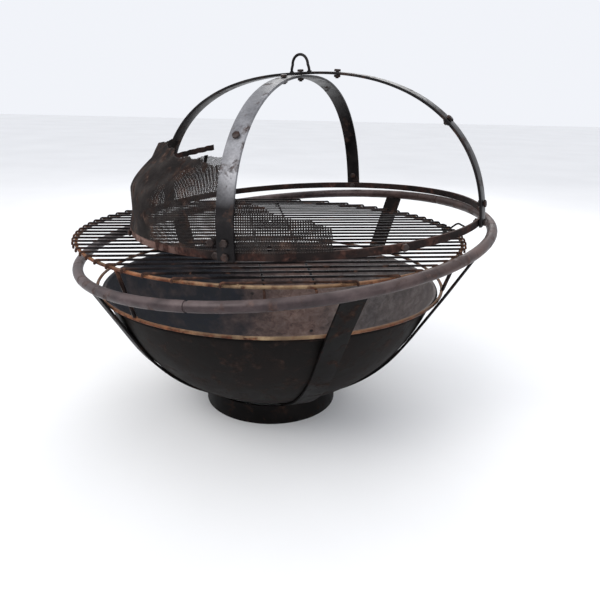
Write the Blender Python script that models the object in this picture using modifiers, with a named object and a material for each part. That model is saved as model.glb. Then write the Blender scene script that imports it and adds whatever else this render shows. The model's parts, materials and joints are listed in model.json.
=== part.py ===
"""Fire pit with grate: strap frame with a round tube rail, fire bowl, basket grate and spark guard.

Metres, +Z up. The ground is z = 0 and the centre of the tube rail is on the Z axis.
The bowl, the grate and the base hoop share one upright axis, a little to the left of the rail's centre,
because the rail has settled out of level and off centre.
"""
import bpy
import bmesh
from math import acos, asin, atan, atan2, cos, hypot, pi, radians, sin, sqrt, tan
from mathutils import Matrix, Vector

# ---- driving dimensions -----------------------------------------------------------------------
GAP = 0.0003                     # left between pieces that touch
BEND_CUT = 1 - cos(pi / 4)       # how far a tight bend cuts its corner, as a share of its radius

# tube rail
RAIL_RADIUS = 0.371              # centre line
RAIL_TUBE_RADIUS = 0.009
RAIL_WALL = 0.0015
RAIL_TILT = (radians(1.9), radians(-6.3))      # about X and Y: the right side stands higher
RAIL_JOINTS = (radians(29), radians(140), radians(251))
RAIL_ABOVE_RIM = 0.090           # its centre, above the bowl's rim
SPIGOT_LENGTH = 0.025            # swaged end that slips into the next length
SPIGOT_TAPER = 0.003
SPIGOT_PLAY = 0.0009             # radial, enough for the short straight steps of the bent tube
JOINT_OPENING = 0.0012

# common axis of bowl, grate and base hoop
AXIS_X = -0.023

# bowl
BOWL_INSET = 0.049               # of the bowl's sphere inside the rail's centre line
BOWL_WALL = 0.002
BOWL_RIM_DROP = 0.099            # rim below the centre of the sphere
BOWL_LIP = 0.004                 # rim turned out and down
DRAIN_RADIUS = 0.008

# leg straps and base hoop
STRAP_AZIMUTHS = (-142, -70, -27, 46, 130)
STRAP_WIDTH = 0.038
STRAP_THICKNESS = 0.004
STRAP_LEAN = radians(31.4)       # of the straight run, from upright
STRAP_END_RADIUS = 0.100
STRAP_SET_OVER = 0.012           # straight run above the lower ring, before the bend to the rail
STRAP_SEAT = 0.0005              # between bowl and strap
BASE_RADIUS = 0.126
BASE_THICKNESS = 0.004
BASE_HEIGHT = 0.0374

# grate
GRATE_ABOVE_RAIL = 0.003         # centre of the ring wire above the centre of the rail
GRATE_INSET = 0.025              # of the ring inside the rail's centre line
RING_WIRE = 0.003                # wire radii
ROD_WIRE = 0.002
POST_WIRE = 0.0035
HANDLE_WIRE = 0.002
ROD_COUNT = 28
ROD_TURN = radians(7)            # the rods' direction, from X
OUTER_ROD_INSET = 0.007          # of the outermost rods inside the ring
ROD_BEND = 0.004
ROD_TIP = 0.002                  # hooked end, below the ring's centre
CROSS_ROD_OFFSET = 0.035
CROSS_ROD_TAIL = 0.010
LOWER_RING_ABOVE_RIM = 0.0086
POST_AZIMUTHS = (-127.5, -15, 112)
HANDLE_LENGTH = 0.026
HANDLE_LEAN = radians(38)        # above horizontal
HANDLE_BEND = 0.008
EYE_WRAP = radians(240)          # how far each end is curled round the ring
EYE_PLAY = 0.0012

# spark guard
GUARD_INSET = 0.0195             # of the straps' feet inside the grate's ring
GUARD_RISE = 0.2465
GUARD_FULLNESS = 2.34            # exponent of the arch; 2 is an ellipse
GUARD_OFFSET = (0.063, 0.025)    # from the grate's axis
GUARD_NOD = radians(0.8)         # tilt about X
GUARD_OVER_RAIL = 0.0019         # where its right side passes over the rail
UPPER_ARCH_TURN = radians(-27.2) # the arches cross a little off square
LOWER_ARCH_TURN = radians(-110.4)
ARCH_WIDTH = 0.028
BAR_THICKNESS = 0.0045
HOOP_HEIGHT = 0.0125
HOOP_PLAY = 0.0014               # the arches lean in a little over the height of the hoop
MESH_THICKNESS = 0.0012
MESH_PLAY = 0.0014               # enough for the straight steps of the bent arches
BAND_PLAY = 0.0018               # enough for the straight steps of the bent mesh
BAND_HEIGHT = 0.014
BAND_THICKNESS = 0.0021
LOOP_WIRE = 0.0025
LOOP_WIDTH = 0.035
LOOP_HEIGHT = 0.029
LOOP_NECK = 0.85                 # width of the bow as a share of the width at the feet
LOOP_CROWN = 0.8                 # rise of the bow as a share of half that width
BOLT_RADIUS = 0.003
BOLT_HOLE_PLAY = 0.0005
BOLT_HOLE_DEPTH = 0.03
BOLT_HEAD_RADIUS = 0.0062
BOLT_HEAD_HEIGHT = 0.004
BOLT_TIP = 0.002                 # thread showing past the nut
BOLT_SEAT = 0.0006
BAND_BOLT_RISE = 0.67            # as a share of the guard's rise

# upper edges of the torn mesh and of the band above it, as shares of the guard's rise
FRONT_LEFT_TOPS = (0.58, 0.59, 0.60, 0.56, 0.52)
FRONT_RIGHT_TOPS = (0.40, 0.30, 0.20)
BACK_LEFT_TOPS = (0.38, 0.40, 0.40)
BAND_TOPS = (0.49, 0.46, 0.44)
FRONT_RIGHT_SPAN = radians(27)
BACK_LEFT_SPAN = radians(29)
BAND_BEHIND = radians(21)        # reach of the band either side of the left foot
BAND_AHEAD = radians(14)

# fineness of round work
RAIL_STEPS = 20
RAIL_SEARCH_STEPS = 1440
RING_STEPS = 60
BOWL_STEPS = 40
BOWL_ARC_STEPS = 10
LIP_STEPS = 4
STRAP_ARC_STEPS = 14
ARCH_STEPS = 20
EYE_STEPS = 8
LOOP_STEPS = 10
HOLE_STEPS = 16
WIRE_RESOLUTION = 2

# ---- derived sizes ------------------------------------------------------------------------------
BOWL_OUTER_RADIUS = RAIL_RADIUS - BOWL_INSET
GRATE_RADIUS = RAIL_RADIUS - GRATE_INSET
GUARD_RADIUS = GRATE_RADIUS - GUARD_INSET         # middle of the straps at the foot
OUTER_ROD = GRATE_RADIUS - OUTER_ROD_INSET
ROD_PITCH = 2 * OUTER_ROD / (ROD_COUNT - 1)

# upwards from the ground: the straps stand on the base hoop and the bowl lies in them
STRAP_RADIUS = BOWL_OUTER_RADIUS + STRAP_SEAT     # inner face, where it follows the bowl
base_inner = BASE_RADIUS - BASE_THICKNESS / 2
seat_depth = sqrt((STRAP_RADIUS + STRAP_THICKNESS) ** 2 - base_inner ** 2)
BOWL_CENTRE_HEIGHT = BASE_HEIGHT + 2 * GAP + seat_depth
BOWL_RIM_HEIGHT = BOWL_CENTRE_HEIGHT - BOWL_RIM_DROP
RAIL_HEIGHT = BOWL_RIM_HEIGHT + RAIL_ABOVE_RIM
GRATE_HEIGHT = RAIL_HEIGHT + GRATE_ABOVE_RAIL
LOWER_RING_HEIGHT = BOWL_RIM_HEIGHT + LOWER_RING_ABOVE_RIM
LOWER_RING_DROP = GRATE_HEIGHT - LOWER_RING_HEIGHT
RODS_HEIGHT = RING_WIRE + ROD_WIRE + GAP          # of the rods' centres, above the ring's
RODS_TOP = RODS_HEIGHT + ROD_WIRE

# the guard stands on the rods at its left and is held up by the rail at its right
guard_low = GRATE_HEIGHT + RODS_TOP + GAP
guard_high = RAIL_HEIGHT + RAIL_RADIUS * sin(-RAIL_TILT[1]) + RAIL_TUBE_RADIUS + GUARD_OVER_RAIL
GUARD_TILT = (GUARD_NOD, -asin((guard_high - guard_low) / (2 * GUARD_RADIUS)))
guard_height = guard_low + GUARD_RADIUS * hypot(tan(GUARD_TILT[0]), tan(GUARD_TILT[1]))

# ---- scene ------------------------------------------------------------------------------------
for old in list(bpy.data.objects):
    bpy.data.objects.remove(old, do_unlink=True)

parts = bpy.data.collections.new("fire_pit_with_grate")
cutters = bpy.data.collections.new("cutters")
for collection in (parts, cutters):
    bpy.context.scene.collection.children.link(collection)


def material(name, colour, roughness, metallic):
    mat = bpy.data.materials.new(name)
    mat.use_nodes = True
    shader = mat.node_tree.nodes["Principled BSDF"]
    shader.inputs["Base Color"].default_value = (*colour, 1.0)
    shader.inputs["Roughness"].default_value = roughness
    shader.inputs["Metallic"].default_value = metallic
    return mat


RAIL_PAINT = material("rail_paint", (0.20, 0.15, 0.14), 0.55, 0.3)
STRAP_PAINT = material("strap_paint", (0.035, 0.032, 0.034), 0.5, 0.3)
BOWL_STEEL = material("bowl_steel", (0.045, 0.040, 0.040), 0.65, 0.4)
RING_RUST = material("ring_rust", (0.42, 0.22, 0.13), 0.6, 0.4)
ROD_STEEL = material("rod_steel", (0.10, 0.09, 0.09), 0.45, 0.7)
GUARD_PAINT = material("guard_paint", (0.12, 0.12, 0.13), 0.4, 0.4)
HOOP_RUST = material("hoop_rust", (0.14, 0.07, 0.06), 0.75, 0.2)
MESH_RUST = material("mesh_rust", (0.06, 0.045, 0.04), 0.8, 0.3)
BOLT_STEEL = material("bolt_steel", (0.09, 0.07, 0.07), 0.5, 0.7)


# ---- helpers ----------------------------------------------------------------------------------
def empty(name, location, rotation=(0, 0, 0), parent=None):
    obj = bpy.data.objects.new(name, None)
    obj.empty_display_size = 0.05
    obj.location = location
    obj.rotation_euler = rotation
    obj.parent = parent
    parts.objects.link(obj)
    return obj


def add(name, data, mat, parent=None, location=(0, 0, 0), rotation=(0, 0, 0), collection=parts):
    obj = bpy.data.objects.new(name, data)
    obj.parent = parent
    obj.location = location
    obj.rotation_euler = rotation
    if mat is not None:
        data.materials.append(mat)
    collection.objects.link(obj)
    return obj


def wire(name, points, radius, mat, parent, closed=False, scales=None, capped=True):
    """A round bar or tube along a poly line; scales thins it point by point."""
    curve = bpy.data.curves.new(name, "CURVE")
    curve.dimensions = "3D"
    curve.bevel_depth = radius
    curve.bevel_resolution = WIRE_RESOLUTION
    curve.use_fill_caps = capped
    spline = curve.splines.new("POLY")
    spline.points.add(len(points) - 1)
    for i, point in enumerate(points):
        spline.points[i].co = (*point, 1.0)
        spline.points[i].radius = 1.0 if scales is None else scales[i]
    spline.use_cyclic_u = closed
    return add(name, curve, mat, parent)


def flat_bar(name, outline, width, mat, parent, turn):
    """A bar bent in one upright plane: its outline is (outwards, up), and it is width wide."""
    curve = bpy.data.curves.new(name, "CURVE")
    curve.dimensions = "2D"
    curve.fill_mode = "BOTH"
    curve.extrude = width / 2
    spline = curve.splines.new("POLY")
    spline.points.add(len(outline) - 1)
    for i, (out, up) in enumerate(outline):
        spline.points[i].co = (out, up, 0.0, 1.0)
    spline.use_cyclic_u = True
    return add(name, curve, mat, parent, rotation=(pi / 2, 0, turn))


def as_mesh(obj):
    """Replace a curve object by its welded mesh, so that it can be cut."""
    bpy.context.view_layer.update()
    name = obj.name
    evaluated = obj.evaluated_get(bpy.context.evaluated_depsgraph_get())
    mesh = bpy.data.meshes.new_from_object(evaluated)
    parent = obj.parent
    place = obj.matrix_world.copy()
    bpy.data.objects.remove(obj, do_unlink=True)
    weld = bmesh.new()
    weld.from_mesh(mesh)
    bmesh.ops.remove_doubles(weld, verts=weld.verts, dist=1e-5)
    weld.to_mesh(mesh)
    weld.free()
    solid = bpy.data.objects.new(name, mesh)
    parts.objects.link(solid)
    solid.parent = parent
    solid.matrix_world = place
    return solid


def cut(obj, cutter):
    modifier = obj.modifiers.new("cut_" + cutter.name, "BOOLEAN")
    modifier.operation = "DIFFERENCE"
    modifier.solver = "EXACT"
    modifier.object = cutter


def as_cutter(obj):
    obj.hide_render = True
    obj.display_type = "WIRE"
    return obj


def turned(name, profile, mat, parent=None, location=(0, 0, 0), rotation=(0, 0, 0),
           steps=RING_STEPS, closed=True):
    """Turn a profile of (radius, height) about local Z."""
    mesh = bpy.data.meshes.new(name)
    count = len(profile)
    edges = [(i, i + 1) for i in range(count - 1)]
    if closed:
        edges.append((count - 1, 0))
    mesh.from_pydata([(radius, 0.0, height) for radius, height in profile], edges, [])
    obj = add(name, mesh, mat, parent, location, rotation)
    screw = obj.modifiers.new("turn", "SCREW")
    screw.axis = "Z"
    screw.steps = steps
    screw.render_steps = steps
    screw.use_merge_vertices = True
    screw.merge_threshold = 1e-5
    return obj


def ring_points(radius, steps, height=0.0):
    angles = [2 * pi * i / steps for i in range(steps)]
    return [(radius * cos(a), radius * sin(a), height) for a in angles]


def ring_bar(name, inner, outer, low, high, mat, parent):
    """A flat bar rolled on edge into a hoop."""
    return turned(name, [(inner, low), (inner, high), (outer, high), (outer, low)], mat, parent)


def smooth(obj):
    bpy.context.view_layer.update()
    if obj.type == "MESH":
        obj.data.shade_smooth()


# ---- reference frames -------------------------------------------------------------------------
rail_frame = empty("rail_frame", (0, 0, RAIL_HEIGHT), (*RAIL_TILT, 0))
axis_frame = empty("axis_frame", (AXIS_X, 0, 0))
grate_frame = empty("grate_frame", (0, 0, GRATE_HEIGHT), (0, 0, ROD_TURN), axis_frame)
guard_frame = empty("guard_frame", (*GUARD_OFFSET, guard_height), (*GUARD_TILT, 0), axis_frame)


# ---- tube rail --------------------------------------------------------------------------------
def rail_length(index):
    """One length of the rail: open tube whose last stretch is swaged down to enter the next one."""
    start = RAIL_JOINTS[index]
    end = RAIL_JOINTS[(index + 1) % len(RAIL_JOINTS)]
    if end < start:
        end += 2 * pi
    start += JOINT_OPENING / RAIL_RADIUS
    thin = (RAIL_TUBE_RADIUS - RAIL_WALL - SPIGOT_PLAY) / RAIL_TUBE_RADIUS
    angles = [start + (end - start) * i / RAIL_STEPS for i in range(RAIL_STEPS + 1)]
    scales = [1.0] * len(angles)
    for reach in (SPIGOT_TAPER, SPIGOT_TAPER + SPIGOT_LENGTH / 2, SPIGOT_TAPER + SPIGOT_LENGTH):
        angles.append(end + reach / RAIL_RADIUS)
        scales.append(thin)
    angles[RAIL_STEPS] = end - SPIGOT_TAPER / RAIL_RADIUS
    angles[RAIL_STEPS + 1] = end
    points = [(RAIL_RADIUS * cos(a), RAIL_RADIUS * sin(a), 0.0) for a in angles]
    name = "rail_%d" % (index + 1)
    obj = wire(name, points, RAIL_TUBE_RADIUS, RAIL_PAINT, rail_frame, scales=scales, capped=False)
    wall = obj.modifiers.new("wall", "SOLIDIFY")
    wall.thickness = RAIL_WALL
    wall.offset = -1.0


for index in range(len(RAIL_JOINTS)):
    rail_length(index)


# ---- fire bowl --------------------------------------------------------------------------------
def bowl_profile():
    """Inner skin from the drain hole up to the rim, then over the rim and down the turned lip."""
    inner = BOWL_OUTER_RADIUS - BOWL_WALL
    lowest = atan2(DRAIN_RADIUS, sqrt(inner ** 2 - DRAIN_RADIUS ** 2))
    highest = acos(BOWL_RIM_DROP / inner)
    angles = [lowest + (highest - lowest) * i / BOWL_ARC_STEPS for i in range(BOWL_ARC_STEPS + 1)]
    skin = [(inner * sin(a), BOWL_CENTRE_HEIGHT - inner * cos(a)) for a in angles]
    rim = skin[-1][0]
    roll = BOWL_WALL + BOWL_LIP / 2
    turns = [pi * i / LIP_STEPS for i in range(1, LIP_STEPS + 1)]
    lip = [(rim + roll * (1 - cos(a)), BOWL_RIM_HEIGHT + roll * sin(a)) for a in turns]
    return skin + lip


fire_bowl = turned("fire_bowl", bowl_profile(), BOWL_STEEL, axis_frame, steps=BOWL_STEPS, closed=False)
bowl_wall = fire_bowl.modifiers.new("wall", "SOLIDIFY")
bowl_wall.thickness = BOWL_WALL
bowl_wall.offset = -1.0


# ---- leg straps and base hoop -----------------------------------------------------------------
def strap_face(offset, reach, top):
    """One face of a strap, offset outwards from the inner one: round under the bowl, then straight past
    the lower ring, then set over a little so that its end meets the rail at (reach, top)."""
    radius = STRAP_RADIUS + offset
    lowest = atan2(STRAP_END_RADIUS, sqrt(STRAP_RADIUS ** 2 - STRAP_END_RADIUS ** 2))
    highest = pi / 2 - STRAP_LEAN
    angles = [lowest + (highest - lowest) * i / STRAP_ARC_STEPS for i in range(STRAP_ARC_STEPS + 1)]
    face = [(radius * sin(a), BOWL_CENTRE_HEIGHT - radius * cos(a)) for a in angles]
    out, up = face[-1]
    set_over = LOWER_RING_HEIGHT + STRAP_SET_OVER
    face.append((out + (set_over - up) * tan(STRAP_LEAN), set_over))
    face.append((reach - STRAP_THICKNESS / 2 + offset, top))
    return face


def rail_point(azimuth):
    """The rail's centre line where it passes over an azimuth taken about the bowl's axis."""
    bpy.context.view_layer.update()
    best = None
    for i in range(RAIL_SEARCH_STEPS):
        angle = 2 * pi * i / RAIL_SEARCH_STEPS
        point = rail_frame.matrix_world @ Vector((RAIL_RADIUS * cos(angle), RAIL_RADIUS * sin(angle), 0))
        across = point - Vector((AXIS_X, 0, 0))
        miss = abs((atan2(across.y, across.x) - azimuth + pi) % (2 * pi) - pi)
        if best is None or miss < best[0]:
            best = (miss, hypot(across.x, across.y), point.z)
    return best[1], best[2]


rail_circle = ring_points(RAIL_RADIUS, 3 * RAIL_STEPS)
rail_clearance = wire("rail_clearance", rail_circle, RAIL_TUBE_RADIUS + 2 * GAP, None, rail_frame,
                      closed=True)
rail_clearance = as_cutter(as_mesh(rail_clearance))
parts.objects.unlink(rail_clearance)
cutters.objects.link(rail_clearance)

for number, degrees in enumerate(STRAP_AZIMUTHS, 1):
    azimuth = radians(degrees)
    reach, rail_height = rail_point(azimuth)
    outline = strap_face(0.0, reach, rail_height) + strap_face(STRAP_THICKNESS, reach, rail_height)[::-1]
    strap = flat_bar("leg_strap_%d" % number, outline, STRAP_WIDTH, STRAP_PAINT, axis_frame, azimuth)
    cut(as_mesh(strap), rail_clearance)

ring_bar("base_hoop", base_inner, base_inner + BASE_THICKNESS, 0.0, BASE_HEIGHT, STRAP_PAINT, axis_frame)


# ---- grate ------------------------------------------------------------------------------------
wire("grate_ring", ring_points(GRATE_RADIUS, RING_STEPS), RING_WIRE, RING_RUST, grate_frame, closed=True)

tangent_height = BOWL_CENTRE_HEIGHT - STRAP_RADIUS * sin(STRAP_LEAN)
strap_reach = STRAP_RADIUS * cos(STRAP_LEAN) + (LOWER_RING_HEIGHT - tangent_height) * tan(STRAP_LEAN)
LOWER_RING_RADIUS = strap_reach - (RING_WIRE + 2 * GAP) / cos(STRAP_LEAN)
lower_circle = ring_points(LOWER_RING_RADIUS, RING_STEPS, -LOWER_RING_DROP)
wire("lower_ring", lower_circle, RING_WIRE, RING_RUST, grate_frame, closed=True)

POST_TOP = Vector((GRATE_RADIUS, 0, 0))
POST_FOOT = Vector((LOWER_RING_RADIUS, 0, -LOWER_RING_DROP))
for number, degrees in enumerate(POST_AZIMUTHS, 1):
    along = (POST_TOP - POST_FOOT).normalized() * (RING_WIRE + 2 * GAP)
    turn = Matrix.Rotation(radians(degrees) - ROD_TURN, 3, "Z")
    ends = [turn @ (POST_FOOT + along), turn @ (POST_TOP - along)]
    wire("grate_post_%d" % number, ends, POST_WIRE, RING_RUST, grate_frame)


def rod_points(offset):
    """A straight rod with both ends bent down outside the ring."""
    end = sqrt((GRATE_RADIUS + RING_WIRE + ROD_WIRE + 2 * GAP) ** 2 - offset ** 2)
    corner = BEND_CUT * ROD_BEND
    half = [(end, -ROD_TIP), (end, RODS_HEIGHT - ROD_BEND), (end - corner, RODS_HEIGHT - corner),
            (end - ROD_BEND, RODS_HEIGHT)]
    left = [(-x, offset, z) for x, z in half]
    right = [(x, offset, z) for x, z in reversed(half)]
    return left + right


for number in range(ROD_COUNT):
    points = rod_points(-OUTER_ROD + number * ROD_PITCH)
    wire("grate_rod_%02d" % (number + 1), points, ROD_WIRE, ROD_STEEL, grate_frame)


def cross_rod_points(offset):
    """Under the rods, then down under the ring and past it, with a short tail."""
    ring = sqrt(GRATE_RADIUS ** 2 - offset ** 2)
    under_rods = RODS_HEIGHT - 2 * ROD_WIRE - GAP
    under_ring = -RING_WIRE - ROD_WIRE - 2 * GAP
    past = ring + RING_WIRE + ROD_WIRE
    half = [(past + ROD_WIRE, under_ring - CROSS_ROD_TAIL), (past + ROD_WIRE, under_ring - ROD_BEND),
            (past, under_ring), (ring - 2 * RING_WIRE, under_ring), (ring - 6 * RING_WIRE, under_rods)]
    front = [(offset, -y, z) for y, z in half]
    back = [(offset, y, z) for y, z in reversed(half)]
    return front + back


for number, side in enumerate((-1, 1), 1):
    wire("cross_rod_%d" % number, cross_rod_points(side * CROSS_ROD_OFFSET), ROD_WIRE, ROD_STEEL, grate_frame)


def handle_points():
    """A wire bail: an open eye round the ring wire at each end, legs and a crossbar."""
    eye = RING_WIRE + HANDLE_WIRE + EYE_PLAY
    half_width = ROD_PITCH
    start = HANDLE_LEAN - pi / 2 - EYE_WRAP
    turns = [start + EYE_WRAP * i / EYE_STEPS for i in range(EYE_STEPS + 1)]
    side = [(eye * cos(a), eye * sin(a)) for a in turns]
    out, up = side[-1]
    left = [(x, -half_width, z) for x, z in side]
    corner = BEND_CUT * HANDLE_BEND
    shoulder = HANDLE_LENGTH - HANDLE_BEND
    for run, inset in ((shoulder, 0.0), (HANDLE_LENGTH - corner, corner), (HANDLE_LENGTH, HANDLE_BEND)):
        left.append((out + run * cos(HANDLE_LEAN), -half_width + inset, up + run * sin(HANDLE_LEAN)))
    right = [(x, -y, z) for x, y, z in reversed(left)]
    return left + right


hinge_reach = sqrt(GRATE_RADIUS ** 2 - ROD_PITCH ** 2)     # the hinge line runs through both eyes
handle_hinge = empty("handle_hinge", (hinge_reach, 0, 0), parent=grate_frame)
wire("grate_handle", handle_points(), HANDLE_WIRE, STRAP_PAINT, handle_hinge)


# ---- spark guard ------------------------------------------------------------------------------
def guard_radius(height):
    """Distance of the guard's skin from its axis at a height above the guard's base."""
    share = min(max(height / GUARD_RISE, 0.0), 1.0)
    return GUARD_RADIUS * (1 - share ** GUARD_FULLNESS) ** (1 / GUARD_FULLNESS)


def arch_face(radius, rise):
    """Half circle of directions, stretched into the arch, from one foot over the crown to the other."""
    power = 2 / GUARD_FULLNESS
    face = []
    for i in range(2 * ARCH_STEPS + 1):
        angle = pi * i / (2 * ARCH_STEPS)
        out = abs(cos(angle)) ** power * radius
        face.append((out if angle < pi / 2 else -out, sin(angle) ** power * rise))
    face[0] = (radius, 0.0)
    face[-1] = (-radius, 0.0)
    face[ARCH_STEPS] = (0.0, rise)
    return face


def hole(name, parent, location, rotation):
    cutter = bmesh.new()
    radius = BOLT_RADIUS + BOLT_HOLE_PLAY
    bmesh.ops.create_cone(cutter, cap_ends=True, segments=HOLE_STEPS, radius1=radius, radius2=radius,
                          depth=BOLT_HOLE_DEPTH)
    mesh = bpy.data.meshes.new(name)
    cutter.to_mesh(mesh)
    cutter.free()
    return as_cutter(add(name, mesh, None, parent, location, rotation, cutters))


def bolt(name, grip, location, rotation):
    """Hexagon bolt and nut through a stack grip thick; local Z points out of the head."""
    seat = grip / 2 + BOLT_SEAT
    end = seat + BOLT_HEAD_HEIGHT
    tip = end + BOLT_TIP
    head = [(0.0, end), (BOLT_HEAD_RADIUS, end), (BOLT_HEAD_RADIUS, seat), (BOLT_RADIUS, seat)]
    nut = [(BOLT_RADIUS, -seat), (BOLT_HEAD_RADIUS, -seat), (BOLT_HEAD_RADIUS, -end), (BOLT_RADIUS, -end)]
    profile = head + nut + [(BOLT_RADIUS, -tip), (0.0, -tip)]
    return turned(name, profile, BOLT_STEEL, guard_frame, location, rotation, steps=6, closed=False)


hoop_outer = GUARD_RADIUS - BAR_THICKNESS / 2 - HOOP_PLAY
guard_hoop = ring_bar("guard_hoop", hoop_outer - BAR_THICKNESS, hoop_outer, 0.0, HOOP_HEIGHT, HOOP_RUST,
                      guard_frame)

half_bar = BAR_THICKNESS / 2
arches = []
crossing = (("lower_arch", LOWER_ARCH_TURN, 0.0), ("upper_arch", UPPER_ARCH_TURN, BAR_THICKNESS + 2 * GAP))
for name, turn, lift in crossing:
    outside = arch_face(GUARD_RADIUS + half_bar, GUARD_RISE + lift + half_bar)
    inside = arch_face(GUARD_RADIUS - half_bar, GUARD_RISE + lift - half_bar)
    bar = flat_bar(name, outside + inside[::-1], ARCH_WIDTH, GUARD_PAINT, guard_frame, turn)
    arches.append(as_mesh(bar))
lower_arch, upper_arch = arches

foot_grip = 2 * BAR_THICKNESS + HOOP_PLAY
foot_middle = GUARD_RADIUS + half_bar - foot_grip / 2
feet = (UPPER_ARCH_TURN, LOWER_ARCH_TURN + pi, UPPER_ARCH_TURN + pi, LOWER_ARCH_TURN)
for number, azimuth in enumerate(feet):
    spot = (foot_middle * cos(azimuth), foot_middle * sin(azimuth), HOOP_HEIGHT / 2)
    facing = (0, pi / 2, azimuth)
    foot_hole = hole("foot_hole_%d" % (number + 1), guard_frame, spot, facing)
    cut(guard_hoop, foot_hole)
    cut(upper_arch if number % 2 == 0 else lower_arch, foot_hole)
    bolt("foot_bolt_%d" % (number + 1), foot_grip, spot, facing)

crown_grip = 2 * BAR_THICKNESS + 2 * GAP
crown_spot = (0, 0, GUARD_RISE - half_bar + crown_grip / 2)
crown_hole = hole("crown_hole", guard_frame, crown_spot, (0, 0, 0))
cut(lower_arch, crown_hole)
cut(upper_arch, crown_hole)
bolt("crown_bolt", crown_grip, crown_spot, (0, 0, 0))

band_rise = BAND_BOLT_RISE * GUARD_RISE
band_step = 0.001
band_out = guard_radius(band_rise)
band_fall = guard_radius(band_rise - band_step) - guard_radius(band_rise + band_step)
band_lean = atan(band_fall / (2 * band_step))
band_spot = (band_out * cos(LOWER_ARCH_TURN), band_out * sin(LOWER_ARCH_TURN), band_rise)
band_facing = (0, pi / 2 - band_lean, LOWER_ARCH_TURN)
cut(lower_arch, hole("band_hole", guard_frame, band_spot, band_facing))
bolt("band_bolt", BAR_THICKNESS, band_spot, band_facing)


def lifting_loop_points():
    """An upright U of wire whose feet stand on the upper arch, clear of the crown bolt."""
    half = LOOP_WIDTH / 2
    top = GUARD_RISE + BAR_THICKNESS + 2 * GAP + half_bar
    foot = top + GAP
    crown = half * LOOP_CROWN
    shoulder = top + LOOP_HEIGHT - crown
    turns = [pi * i / LOOP_STEPS for i in range(LOOP_STEPS + 1)]
    bow = [(half * LOOP_NECK * cos(a), shoulder + crown * sin(a)) for a in turns]
    return [(half, 0, foot)] + [(x, 0, z) for x, z in bow] + [(-half, 0, foot)]


loop_frame = empty("loop_frame", (0, 0, 0), (0, 0, UPPER_ARCH_TURN), guard_frame)
wire("lifting_loop", lifting_loop_points(), LOOP_WIRE, GUARD_PAINT, loop_frame)


def skin_panel(name, span, tops, low, inset, thickness, mat, columns, rows):
    """A sheet that follows the guard's skin between two azimuths. tops are the heights of its upper edge,
    evenly spaced, as shares of the guard's rise; low gives the lower edge for the height of the upper."""
    grid = bmesh.new()
    lines = []
    for i in range(columns + 1):
        share = i / columns
        place = share * (len(tops) - 1)
        step = min(int(place), len(tops) - 2)
        high = (tops[step] + (tops[step + 1] - tops[step]) * (place - step)) * GUARD_RISE
        bottom = low(high)
        azimuth = span[0] + (span[1] - span[0]) * share
        line = []
        for j in range(rows + 1):
            height = bottom + (high - bottom) * j / rows
            radius = guard_radius(height) - inset
            line.append(grid.verts.new((radius * cos(azimuth), radius * sin(azimuth), height)))
        lines.append(line)
    for i in range(columns):
        for j in range(rows):
            grid.faces.new((lines[i][j], lines[i + 1][j], lines[i + 1][j + 1], lines[i][j + 1]))
    mesh = bpy.data.meshes.new(name)
    grid.to_mesh(mesh)
    grid.free()
    panel = add(name, mesh, mat, guard_frame)
    sheet = panel.modifiers.new("sheet", "SOLIDIFY")
    sheet.thickness = thickness
    sheet.offset = -1.0


mesh_inset = half_bar + MESH_PLAY
split = GAP / GUARD_RADIUS            # half the seam between neighbouring panels
front = LOWER_ARCH_TURN
left = UPPER_ARCH_TURN - pi
panels = (
    ("mesh_front_left", (left + split, front - split), FRONT_LEFT_TOPS, 12, 6),
    ("mesh_front_right", (front + split, front + FRONT_RIGHT_SPAN), FRONT_RIGHT_TOPS, 5, 4),
    ("mesh_back_left", (left - BACK_LEFT_SPAN, left - split), BACK_LEFT_TOPS, 5, 4),
)
for name, span, tops, columns, rows in panels:
    skin_panel(name, span, tops, lambda high: HOOP_HEIGHT + GAP, mesh_inset, MESH_THICKNESS, MESH_RUST,
               columns, rows)
band_inset = mesh_inset + MESH_THICKNESS + BAND_PLAY
skin_panel("band_remnant", (left - BAND_BEHIND, left + BAND_AHEAD), BAND_TOPS,
           lambda high: high - BAND_HEIGHT, band_inset, BAND_THICKNESS, HOOP_RUST, 8, 1)

for piece in parts.objects:
    smooth(piece)
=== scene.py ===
"""Fire pit with grate: the finished look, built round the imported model.

Metres, +Z up, in the model's own frame. Places are read from the model's nodes: each round assembly
(rail, grate, bowl, guard) gives a local frame, and its pieces are rebuilt finely in that frame.
"""
import json
from math import acos, atan2, cos, hypot, pi, radians, sin, sqrt

import bmesh
import bpy
import numpy as np
from mathutils import Matrix, Vector, noise


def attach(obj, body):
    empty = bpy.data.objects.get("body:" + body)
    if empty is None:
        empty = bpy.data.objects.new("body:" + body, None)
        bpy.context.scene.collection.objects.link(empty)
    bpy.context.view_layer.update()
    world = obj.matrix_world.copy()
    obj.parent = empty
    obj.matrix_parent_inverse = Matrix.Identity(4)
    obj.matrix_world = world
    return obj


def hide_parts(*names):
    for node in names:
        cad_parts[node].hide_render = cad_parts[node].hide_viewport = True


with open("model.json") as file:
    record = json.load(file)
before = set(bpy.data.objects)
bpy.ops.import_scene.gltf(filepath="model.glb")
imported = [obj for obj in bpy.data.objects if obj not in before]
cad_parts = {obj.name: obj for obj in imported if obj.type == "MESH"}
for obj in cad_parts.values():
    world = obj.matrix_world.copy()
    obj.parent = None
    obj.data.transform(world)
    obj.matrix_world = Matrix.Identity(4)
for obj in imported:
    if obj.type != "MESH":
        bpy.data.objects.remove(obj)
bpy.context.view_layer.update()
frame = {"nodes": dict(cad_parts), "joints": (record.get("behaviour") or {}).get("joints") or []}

# ---- sizes that the nodes' boxes don't give -----------------------------------------------------
UP = Vector((0, 0, 1))

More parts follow.
